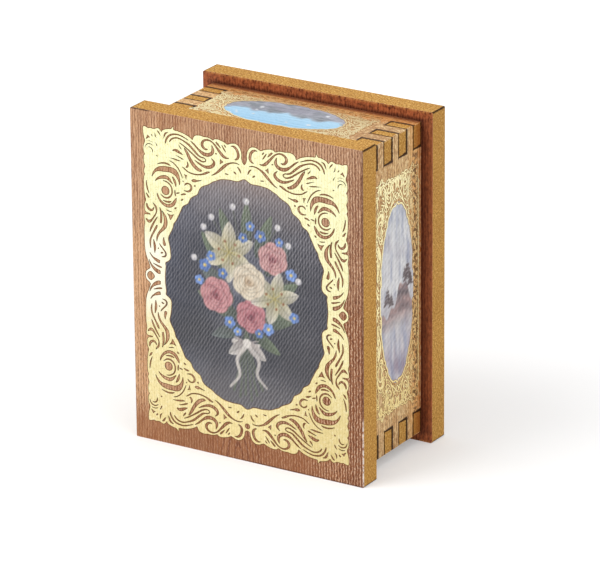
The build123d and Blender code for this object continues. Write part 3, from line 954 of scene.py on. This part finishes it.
def finished_object(name, shape, material):
    """A finished shape as an object in the scene, in its material."""
    mesh = bpy.data.meshes.new(name)
    shape.to_mesh(mesh)
    shape.free()
    mesh.materials.append(material)
    made = bpy.data.objects.new(name, mesh)
    bpy.context.scene.collection.objects.link(made)
    return made


def keep_piece(name, shape, material, body):
    """Make a finished shape a piece that rides on its body."""
    piece = finished_object(name, shape, material)
    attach(piece, body)
    return piece


def cut_sheet(name, loops, thickness, face, material, body):
    """A sheet of one thickness, cut to the loops and laid on a face."""
    curve = bpy.data.curves.new(name, "CURVE")
    curve.dimensions = "2D"
    curve.fill_mode = "BOTH"
    curve.extrude = thickness / 2
    for loop in loops:
        spline = curve.splines.new("POLY")
        spline.points.add(len(loop) - 1)
        flat = np.zeros((len(loop), 4))
        flat[:, :2] = loop
        flat[:, 3] = 1
        spline.points.foreach_set("co", flat.ravel())
        spline.use_cyclic_u = True
    drawn = bpy.data.objects.new(name + "_outline", curve)
    bpy.context.scene.collection.objects.link(drawn)
    bpy.context.view_layer.update()
    filled = bpy.data.meshes.new_from_object(drawn)
    shape = bmesh.new()
    shape.from_mesh(filled)
    bpy.data.objects.remove(drawn)
    bpy.data.meshes.remove(filled)
    bmesh.ops.remove_doubles(shape, verts=shape.verts, dist=MERGE_WITHIN)
    bmesh.ops.translate(shape, verts=shape.verts, vec=(0, 0, thickness / 2))
    bmesh.ops.recalc_face_normals(shape, faces=shape.faces)
    lay_on(shape, face)
    keep_piece(name, shape, material, body)


def wall_scallops():
    """A double row of small arcs down a wall ornament's long edge, and a row across its end."""
    turn = np.linspace(0, math.pi, SCALLOP_POINTS)
    arcs = []
    for middle in (np.arange(SCALLOP_COUNT[0]) + 0.5) * SCALLOP:
        for inset, bulge, width in (SCALLOP_OUTER, SCALLOP_INNER):
            across = WALL_EDGE[0] - inset + bulge * np.sin(turn)
            arcs.append(of_width(np.stack([across, middle - np.cos(turn) * SCALLOP / 2], 1), width))
    for middle in (np.arange(SCALLOP_COUNT[1]) + 0.5) * SCALLOP:
        inset, bulge, width = SCALLOP_END
        up = WALL_EDGE[1] - inset + bulge * np.sin(turn)
        arcs.append(of_width(np.stack([middle - np.cos(turn) * SCALLOP / 2, up], 1), width))
    return arcs


def wall_lines(wider):
    """A wall's ornament, one quarter of it: each line's way and its width, in millimetres."""
    least, share = WALL_LINE
    lines = [np.multiply(slit, (*WALL_SQUEEZE, share)) + (0, 0, least) for slit in LEAF_SLITS + SLITS]
    lines.append(of_width(np.multiply(PICTURE_RIM, WALL_SQUEEZE), WALL_RIM_WIDTH))
    lines.append(of_width(np.multiply(FOIL_RIM + CLOSED_MIDDLE, WALL_SQUEEZE), WALL_EDGE_WIDTH))
    return [np.add(line, (0, 0, wider)) for line in lines + WALL_PENDANTS + wall_scallops()]


def lay_line(shape, line, steps, lift):
    """One line: a strip of squares drawn out along it, at its height above the face."""
    outline = slit_outline(line, steps)
    count = len(outline) // 2
    strip = bmesh.ops.create_grid(shape, x_segments=count - 1, y_segments=1, size=1)["verts"]
    for vert in strip:
        place = round((vert.co.x + 1) / 2 * (count - 1))
        across, up = outline[place] if vert.co.y > 0 else outline[-1 - place]
        vert.co = (across, up, lift)


def thicken(shape, thickness):
    """Give strips their thickness, downwards from their upper side."""
    bmesh.ops.recalc_face_normals(shape, faces=shape.faces)
    lower = [patch for patch in shape.faces if patch.normal.z < 0]
    bmesh.ops.reverse_faces(shape, faces=lower)
    bmesh.ops.solidify(shape, geom=shape.faces, thickness=thickness)
    bmesh.ops.recalc_face_normals(shape, faces=shape.faces)


def stamp_lines(name, face, scale, wider, lift, material, body):
    """A wall's ornament of thin lines that cross and join, each a hair above the one before."""
    shape, depth = bmesh.new(), lift
    for across in (1, -1):
        for up in (1, -1):
            for line in wall_lines(wider):
                lay_line(shape, line * (across * scale[0], up * scale[1], 1), LINE_POINTS, lift)
                lift += FOIL_STEP
    thicken(shape, depth)
    lay_on(shape, face)
    keep_piece(name, shape, material, body)


def stamp_dent_shade(name, face, material, body):
    """The dark lines along the lid foil's edges, half of each under the foil: partly browned print, partly
    painted shade in the stamp's dent.
    """
    shape = bmesh.new()
    for k, loop in enumerate(foil_outlines(LINE_POINTS)):
        line = of_width(np.concatenate([loop, loop[:2]]), DENT_WIDTH)
        lay_line(shape, line, 1, DENT + k * DENT_STEP)
    thicken(shape, DENT)
    lay_on(shape, face)
    keep_piece(name, shape, material, body)


# ---------------------------------------------------------------- printed pictures, painted point by point


def within(value):
    """The value, held between 0 and 1."""
    return np.clip(value, 0, 1)


def soft_edge(depth, blur):
    """1 well inside a shape and 0 well outside, from how deep inside each point lies."""
    return within(0.5 + depth / blur)


def hump(value, middle, width):
    """1 where the value is at its middle, and less and less away from there."""
    return np.exp(-((value - middle) / width) ** 2)


def between(share, first, second):
    """From one colour to another, by each point's share from 0 to 1."""
    return np.outer(1 - share, first) + np.outer(share, second)


def off(at, way, distance):
    """The point at a distance from another, one way."""
    return at[0] + math.cos(way) * distance, at[1] + math.sin(way) * distance


class Painting:
    """A small painting in everyday colours, on points given in millimetres from its middle."""

    def __init__(self, across, up, seed):
        self.across, self.up = across, up
        self.paint = np.zeros((len(across), 3))
        self.chance = np.random.default_rng(seed)

    def ground(self, share, first, second):
        """The first coat, from one colour to another."""
        self.paint = between(share, first, second) / 255

    def lay(self, cover, colour):
        """Lay a colour on, as thickly as the cover says, from 0 to 1."""
        self.paint += (np.divide(colour, 255) - self.paint) * within(cover)[:, None]

    def billow(self, width, height):
        """Soft uneven cloud, about 0 to 1, with lumps of one size across and another up."""
        lattice = self.chance.random((CLOUD_LUMPS, CLOUD_LUMPS))
        total, weight = 0, 0
        for octave in (1, 2, 4):
            a, b = self.across / width * octave % CLOUD_LUMPS, self.up / height * octave % CLOUD_LUMPS
            i, j = a.astype(int), b.astype(int)
            s, t = a - i, b - j
            s, t = s * s * (3 - 2 * s), t * t * (3 - 2 * t)
            near, far = i % CLOUD_LUMPS, (i + 1) % CLOUD_LUMPS
            low, high = j % CLOUD_LUMPS, (j + 1) % CLOUD_LUMPS
            value = (lattice[near, low] * (1 - s) + lattice[far, low] * s) * (1 - t)
            value = value + (lattice[near, high] * (1 - s) + lattice[far, high] * s) * t
            total, weight = total + value / octave, weight + 1 / octave
        return total / weight

    def seen_from(self, at, turn):
        """Distance along and across a direction, from a point."""
        a, b = self.across - at[0], self.up - at[1]
        return a * math.cos(turn) + b * math.sin(turn), b * math.cos(turn) - a * math.sin(turn)

    def petal(self, at, turn, length, width, root, tip, blunt=0.8):
        """One petal or leaf, from its root outwards, with a shaded side and a vein."""
        along, aside = self.seen_from(at, turn)
        share = within(along / length)
        half = width / 2 * np.sin(math.pi * share**blunt) ** 0.75
        cover = soft_edge(half - np.abs(aside), 0.25) * (along > 0) * (along < length)
        side = np.clip(aside / (half + 0.01), -1, 1)
        shade = 0.93 + 0.11 * side - 0.16 * hump(aside, 0, 0.16)
        self.lay(cover * 0.96, between(share, root, tip) * shade[:, None])

    def disc(self, at, radius, colour, strength=1.0, edge=0.3):
        """A round dab of colour."""
        a, b = self.seen_from(at, 0)
        self.lay(soft_edge(radius - np.hypot(a, b), edge) * strength, colour)

    def line(self, points, width, colour):
        """A stem or twig, as wide as the width at its start and half as wide at its end."""
        run = smooth(points, STEM_POINTS)
        for k, point in enumerate(run):
            self.disc(point, width * (1 - 0.5 * k / len(run)) / 2, colour, 0.8, 0.22)

    def rose(self, at, size, deep, pale, turn):
        """A rose from the front: rings of round petals, each darker towards the heart."""
        for share, count in ((1.0, 6), (0.72, 5), (0.46, 4), (0.24, 3)):
            radius = size * (0.28 + 0.3 * share)
            for k in range(count):
                way = turn + share * 9 + k / count * math.tau
                a, b = self.seen_from(off(at, way, size * share * 0.5), way)
                away = np.hypot(a, b)
                colour = between(soft_edge(a, 2 * radius) ** 1.3, deep, pale)
                colour = colour * (1 - 0.22 * hump(away, radius, 0.22))[:, None]
                self.lay(soft_edge(radius - away, 0.28), colour)
        self.disc(at, size * 0.12, np.multiply(deep, 0.75), 0.8)

    def lily(self, at, size, root, tip, turn):
        """An open lily: three petals over three, with its stamens."""
        for start in (turn, turn + math.pi / 3):
            for k in range(3):
                self.petal(at, start + k * math.tau / 3, size, size * 0.5, root, tip, blunt=0.9)
        for k in range(6):
            end = off(at, turn + 0.4 + k * math.tau / 6, size * 0.36)
            self.line([at, end], 0.3, (186, 170, 96))
            self.disc(end, 0.34, (150, 92, 44))

    def blossom(self, at, size, petals, heart, turn):
        """A small flower of five round petals."""
        for k in range(5):
            petal = off(at, turn + k * math.tau / 5, size * 0.55)
            self.disc(petal, size * 0.46, np.multiply(petals, 0.9 + 0.12 * (k % 2)))
        self.disc(at, size * 0.26, heart)


def paint_posy(sheet):
    """The lid's picture: a tied posy before dull evening clouds."""
    across, up = sheet.across, sheet.up
    away = np.hypot(across / 23, up / 29.5)
    sheet.ground(within((up + 29) / 58), (118, 114, 114), (186, 160, 146))
    sheet.lay(0.95 * hump(up, -1, 19), (42, 46, 60))
    sheet.lay(0.9 * sheet.billow(11, 5) * within(1.3 - np.abs(up - 3) / 20), (34, 46, 76))
    sheet.lay(0.55 * within(sheet.billow(8, 4) * 2.2 - 1.0), (176, 172, 176))
    sheet.lay(0.6 * within(away * 2.2 - 1.2) * within(1.2 - np.abs(up) / 30), (28, 30, 42))
    sheet.lay(0.5 * within((across + 24) / -14 + 1) * sheet.billow(7, 6), (84, 104, 140))
    sheet.lay(0.6 * hump(up, -13, 7) * within(np.abs(across) / 14), (30, 32, 38))
    sheet.lay(0.4 * within((across - 5) / 12) * within(1.2 - np.abs(up) / 22), (50, 46, 52))
    sheet.lay(0.3 * hump(np.hypot(across / 10, (up - 7) / 14), 0, 1), (176, 172, 180))
    sheet.lay(0.6 * hump(np.hypot(across / 16, (up - 1) / 19), 0.85, 0.32), (24, 28, 38))

    # stems and leaves
    for lean, foot in ((-3.6, -24.6), (-1.9, -26.0), (-0.4, -25.2), (1.3, -26.4), (2.8, -24.8), (4.4, -23.2)):
        stem = [(lean, foot), (lean * 0.45, -17), (lean * 0.16, -10.5), (-lean * 0.6, -3)]
        sheet.line(stem, 0.75, (92, 104, 80))
    dark, fresh, grey = (58, 72, 58), (126, 142, 106), (112, 122, 120)
    for k, (a, b, way, length, width) in enumerate((
        (-2.0, -6, 2.75, 12.5, 4.4), (2.6, -6.5, 0.25, 12.0, 4.2), (-3.4, -2.5, 2.4, 13.0, 4.4),
        (4.0, -2, 0.62, 13.0, 4.2), (-5.0, 5, 2.25, 11.5, 3.8), (5.6, 6, 0.95, 11.5, 3.8),
        (-2.6, 9.5, 1.95, 12.0, 3.6), (3.0, 10, 1.2, 12.0, 3.6), (-1.0, -8.5, 3.5, 9.5, 3.4),
        (1.6, -9, -0.5, 9.0, 3.2), (0.4, 12, 1.56, 11.5, 3.2),
    )):
        sheet.petal((a, b), way, length, width, dark, grey if k % 3 == 2 else fresh)

    # buds on twigs
    for a, b in (
        (-11.6, 15.2), (-9.4, 18.0), (11.9, 14.6), (9.0, 18.6),
        (-14.4, 7.0), (14.6, 6.2), (0.4, 23.6), (-3.4, 21.6),
    ):
        sheet.line([(a * 0.45, b * 0.55), (a * 0.8, b * 0.85), (a, b)], 0.4, (104, 112, 86))
        sheet.disc((a, b), 0.85, (214, 210, 214))
        sheet.disc((a + 0.2, b + 0.25), 0.45, (240, 236, 232))

    # roses, lilies and small blue flowers
    sheet.rose((-8.2, -1.4), 4.3, (150, 66, 78), (232, 168, 168), 0.3)
    sheet.rose((7.6, 10.6), 3.9, (158, 76, 84), (238, 184, 178), 1.1)
    sheet.rose((1.4, -5.0), 4.0, (140, 58, 74), (222, 150, 154), 2.0)
    sheet.lily((-4.6, 10.0), 7.8, (196, 184, 128), (244, 236, 222), 0.5)
    sheet.lily((8.0, 0.6), 7.0, (186, 178, 128), (240, 232, 220), 1.35)
    sheet.rose((0.9, 3.6), 4.4, (206, 176, 140), (250, 238, 214), 0.9)
    for k, (a, b, size) in enumerate((
        (-11.4, 5.6, 1.7), (-9.6, 8.2, 1.3), (12.6, 7.4, 1.6), (4.2, 15.6, 1.6), (1.4, 17.6, 1.3),
        (6.2, -7.4, 1.6), (3.6, -9.0, 1.2), (-4.6, -7.6, 1.6), (-2.4, -9.6, 1.2), (-6.4, 4.4, 1.4),
        (13.4, -3.2, 1.4), (-13.0, 1.6, 1.3), (-0.6, 14.4, 1.3), (9.4, 15.0, 1.2),
    )):
        blue = np.minimum(255, np.add((88, 128, 200), 18 * (k % 3)))
        sheet.blossom((a, b), size, blue, (238, 206, 110), k * 0.7)

    # the ribbon and its bow
    sheet.line([(-3.4, -12.2), (0.0, -12.9), (3.6, -12.0)], 1.5, (222, 214, 206))
    sheet.line([(-3.0, -11.2), (0.2, -11.8), (3.2, -11.0)], 0.7, (176, 164, 160))
    sheet.petal((0.2, -12.0), 3.75, 6.4, 3.2, (168, 156, 152), (236, 230, 222))
    sheet.petal((0.2, -12.0), -0.6, 6.4, 3.2, (168, 156, 152), (230, 222, 214))
    sheet.line([(0.0, -12.4), (-2.6, -16.5), (-2.0, -20.5), (-4.6, -24.0)], 1.2, (216, 208, 200))
    sheet.line([(0.4, -12.4), (3.4, -16.0), (3.0, -19.8), (5.6, -22.6)], 1.2, (204, 196, 190))
    sheet.disc((0.2, -12.1), 1.15, (238, 230, 222))


def paint_misty_hill(sheet):
    """A side picture: pale mist, with a bare brown hill and its firs."""
    across, up = sheet.across, sheet.up
    sheet.ground(within((up + 22) / 44), (192, 184, 188), (216, 220, 226))
    sheet.lay(0.85 * within(sheet.billow(6, 3.6) * 2 - 0.6), (242, 242, 242))
    sheet.lay(0.6 * within(sheet.billow(5, 3) * 2.4 - 1.2), (158, 152, 168))
    sheet.lay(0.7 * within((-9 - up) / 9) * sheet.billow(3, 2.4), (124, 100, 130))
    sheet.lay(0.7 * within(sheet.billow(1.1, 7) * 2.8 - 1.1), (244, 244, 244))
    sheet.lay(0.55 * within(sheet.billow(1.3, 5) * 2.8 - 1.4), (132, 142, 176))
    ridge = -4.6 + 6.8 * hump(across, 2.6, 3.4) + 0.9 * np.sin(across * 1.7)
    rock = soft_edge(ridge - up, 0.5) * within((up + 9.5) / 5)
    sheet.lay(rock * 0.85, np.outer(sheet.billow(2.2, 1.2), (172, 132, 116)) + (54, 46, 52))
    firs = (-4.4, -1.6, 3.4), (-2.7, -2.4, 2.4), (4.9, 2.0, 3.8), (6.1, 0.4, 2.6), (3.6, 3.0, 2.0)
    for a, b, size in firs:
        for level in range(4):
            root, length = (a, b + size * (0.25 * level + 0.2)), size * (0.62 - 0.13 * level)
            for way in (-0.45, math.pi + 0.45):
                sheet.petal(root, way, length, size * 0.26, (90, 74, 76), (118, 100, 98))
        sheet.line([(a, b), (a, b + size * 1.25)], 0.35, (84, 68, 68))


def paint_cloud_bank(sheet):
    """An end picture: blue sky over a bank of grey cloud, with a few small white blossoms blown across."""
    across = sheet.across
    sheet.ground((1 - across / 7.8) / 2, (144, 198, 232), (186, 220, 240))
    bank = soft_edge(5.2 * sheet.billow(9, 4) - 2.6 - across, 1.6)
    sheet.lay(bank * 0.92, between(sheet.billow(4, 2.5), (118, 116, 130), (186, 184, 194)))
    sheet.lay(bank * 0.8 * within(sheet.billow(1.7, 3.2) * 3.2 - 1.5), (100, 110, 116))
    for k in range(9):
        a, b = sheet.chance.uniform(-4.5, 5.5), sheet.chance.uniform(-13, 13)
        sheet.blossom((a, b), 0.36 + 0.2 * (k % 2), (232, 238, 244), (214, 214, 206), k)


def print_picture(name, face, half_across, half_up, subject, seed, material, body):
    """One printed oval, a grid drawn out to an oval, with its painting on it."""
    columns, rows = int(2 * half_across / PRINT_DOT), int(2 * half_up / PRINT_DOT)
    shape = bmesh.new()
    bmesh.ops.create_grid(shape, x_segments=columns, y_segments=rows, size=1)
    for vert in shape.verts:
        a, b = vert.co.x, vert.co.y
        vert.co.x = half_across * a * math.sqrt(1 - b * b / 2)
        vert.co.y = half_up * b * math.sqrt(1 - a * a / 2)
    rim = [edge for edge in shape.edges if edge.is_boundary]
    drawn = bmesh.ops.extrude_edge_only(shape, edges=rim)["geom"]
    lower = [part for part in drawn if isinstance(part, bmesh.types.BMVert)]
    bmesh.ops.translate(shape, verts=lower, vec=(0, 0, -PRINT))
    bmesh.ops.edgeloop_fill(shape, edges=[edge for edge in shape.edges if edge.is_boundary])
    places = np.array([vert.co[:2] for vert in shape.verts])
    sheet = Painting(places[:, 0], places[:, 1], seed)
    subject(sheet)
    bmesh.ops.translate(shape, verts=shape.verts, vec=(0, 0, PRINT))
    bmesh.ops.recalc_face_normals(shape, faces=shape.faces)
    lay_on(shape, face)
    piece = keep_piece(name, shape, material, body)
    layer = piece.data.color_attributes.new("paint", "FLOAT_COLOR", "POINT")
    colours = np.column_stack([linear(within(sheet.paint)), np.ones(len(places))])
    layer.data.foreach_set("color", colours.astype(np.float32).ravel())


# ---------------------------------------------------------------- the box, dressed


def dress(material, *nodes):
    """Give the CAD's own pieces their material."""
    for node in nodes:
        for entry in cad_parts[node].material_slots:
            entry.material = material


def lay_floor():
    """A wide white floor under the box."""
    shape = bmesh.new()
    bmesh.ops.create_grid(shape, x_segments=1, y_segments=1, size=FLOOR_SIZE / 2)
    floor = finished_object("floor", shape, floor_finish())


def dress_boards():
    """Cut fibreboard on the plates, the walls and the locating board."""
    dress(board_finish("plate_board", corner_scorch, flat_of_plate), "lid_board", "base_board")
    walls = board_finish("wall_board", comb_scorch_and_gap_shade, bare_inside, base_shade_and_reflection=0.75)
    dress(walls, "top_wall", "bottom_wall", "left_wall", "right_wall")
    dress(board_finish("locating_board", comb_scorch_and_gap_shade, flat_of_plate), "lid_locating_board")


def dress_sheets():
    """Printed wood on the outside of every board but the base's back."""
    lid_tones = [tone(190, 138, 98), tone(212, 164, 124), tone(224, 178, 138), tone(124, 70, 46)]
    dress(printed_wood("lid_print", lid_tones, "z", lid_print_extra), "lid_face_sheet")
    wall_tones = [tone(208, 160, 96), tone(230, 188, 126), tone(244, 210, 152), tone(150, 94, 48)]
    side_print = printed_wood("side_print", wall_tones, "z", wall_print_extra)
    dress(side_print, "left_wall_sheet", "right_wall_sheet")
    end_print = printed_wood("end_print", wall_tones, "x", wall_print_extra)
    dress(end_print, "top_wall_sheet", "bottom_wall_sheet")
    base_tones = [tone(132, 70, 44), tone(154, 84, 52), tone(172, 98, 62), tone(70, 28, 18)]
    dress(printed_wood("base_print", base_tones, "z", base_print_extra), "base_face_sheet")


def decorate():
    """Foil and picture on the lid and on the four walls."""
    lid_tones = tone(242, 240, 193), tone(242, 224, 166), tone(196, 180, 116)
    wall_tones = tone(255, 246, 190), tone(255, 234, 162), tone(200, 150, 74)
    lid_gold = gold_finish("lid_gold", *lid_tones, 0.85, "X", lid_foil_glare_and_shade)
    wall_gold = gold_finish("wall_gold", *wall_tones, 0.7, "Y", wall_foil_shade)
    lid_picture = picture_finish("lid_picture", "X", "Z", RIB_PITCH, TWILL, 0.22, 0.22)
    side_picture = picture_finish("side_picture", "Y", "Z", PICTURE_RIB_PITCH, WALL_TWILL, 0.18, 0.13)
    end_picture = picture_finish("end_picture", "Y", "X", PICTURE_RIB_PITCH, WALL_TWILL, 0.07, 0.08)
    middle_z = HALF_HEIGHT * MM
    faces = {
        "lid": (LID_ORNAMENT_AT, (1, 0, 0), (0, 0, 1)),
        "right": ((FRAME_HIGH.x, SIDE_ORNAMENT_Y, middle_z), (0, 1, 0), (0, 0, 1)),
        "left": ((FRAME_LOW.x, SIDE_ORNAMENT_Y, middle_z), (0, -1, 0), (0, 0, 1)),
        "top": ((-END_ORNAMENT_X, END_ORNAMENT_Y, FRAME_HIGH.z), (0, -1, 0), (1, 0, 0)),
        "bottom": ((END_ORNAMENT_X, END_ORNAMENT_Y, FRAME_LOW.z), (0, 1, 0), (1, 0, 0)),
    }
    lid_dent_shade = dent_shade_finish("lid_dent_shade", tone(104, 68, 32))
    side_dent_shade = dent_shade_finish("side_dent_shade", tone(124, 76, 34))
    end_dent_shade = dent_shade_finish("end_dent_shade", tone(156, 106, 56))
    cut_sheet("lid_foil", foil_outlines(FOIL_POINTS), FOIL, faces["lid"], lid_gold, "lid")
    stamp_dent_shade("lid_foil_dent_shade", faces["lid"], lid_dent_shade, "lid")
    print_picture("lid_picture", faces["lid"], *PICTURE_HALF, paint_posy, 3, lid_picture, "lid")
    for side, scale, subject, seed, picture, wall_dent_shade in (
        ("right", WIDE_SCALE, paint_misty_hill, 5, side_picture, side_dent_shade),
        ("left", WIDE_SCALE, paint_misty_hill, 8, side_picture, side_dent_shade),
        ("top", END_SCALE, paint_cloud_bank, 11, end_picture, end_dent_shade),
        ("bottom", END_SCALE, paint_cloud_bank, 14, end_picture, end_dent_shade),
    ):
        # dark lines under the wall foil's edges: partly browned, partly painted shade
        stamp_lines(side + "_wall_dent_shade", faces[side], scale, WALL_SPILL, DENT, wall_dent_shade, "box")
        stamp_lines(side + "_wall_foil", faces[side], scale, 0, WALL_LIFT, wall_gold, "box")
        half = [size * stretch for size, stretch in zip(WALL_HALF, scale)]
        print_picture(side + "_wall_picture", faces[side], *half, subject, seed, picture, "box")


bpy.context.scene.view_settings.view_transform = "Standard"
place_camera()
light_studio()
lay_floor()
dress_boards()
dress_sheets()
decorate()
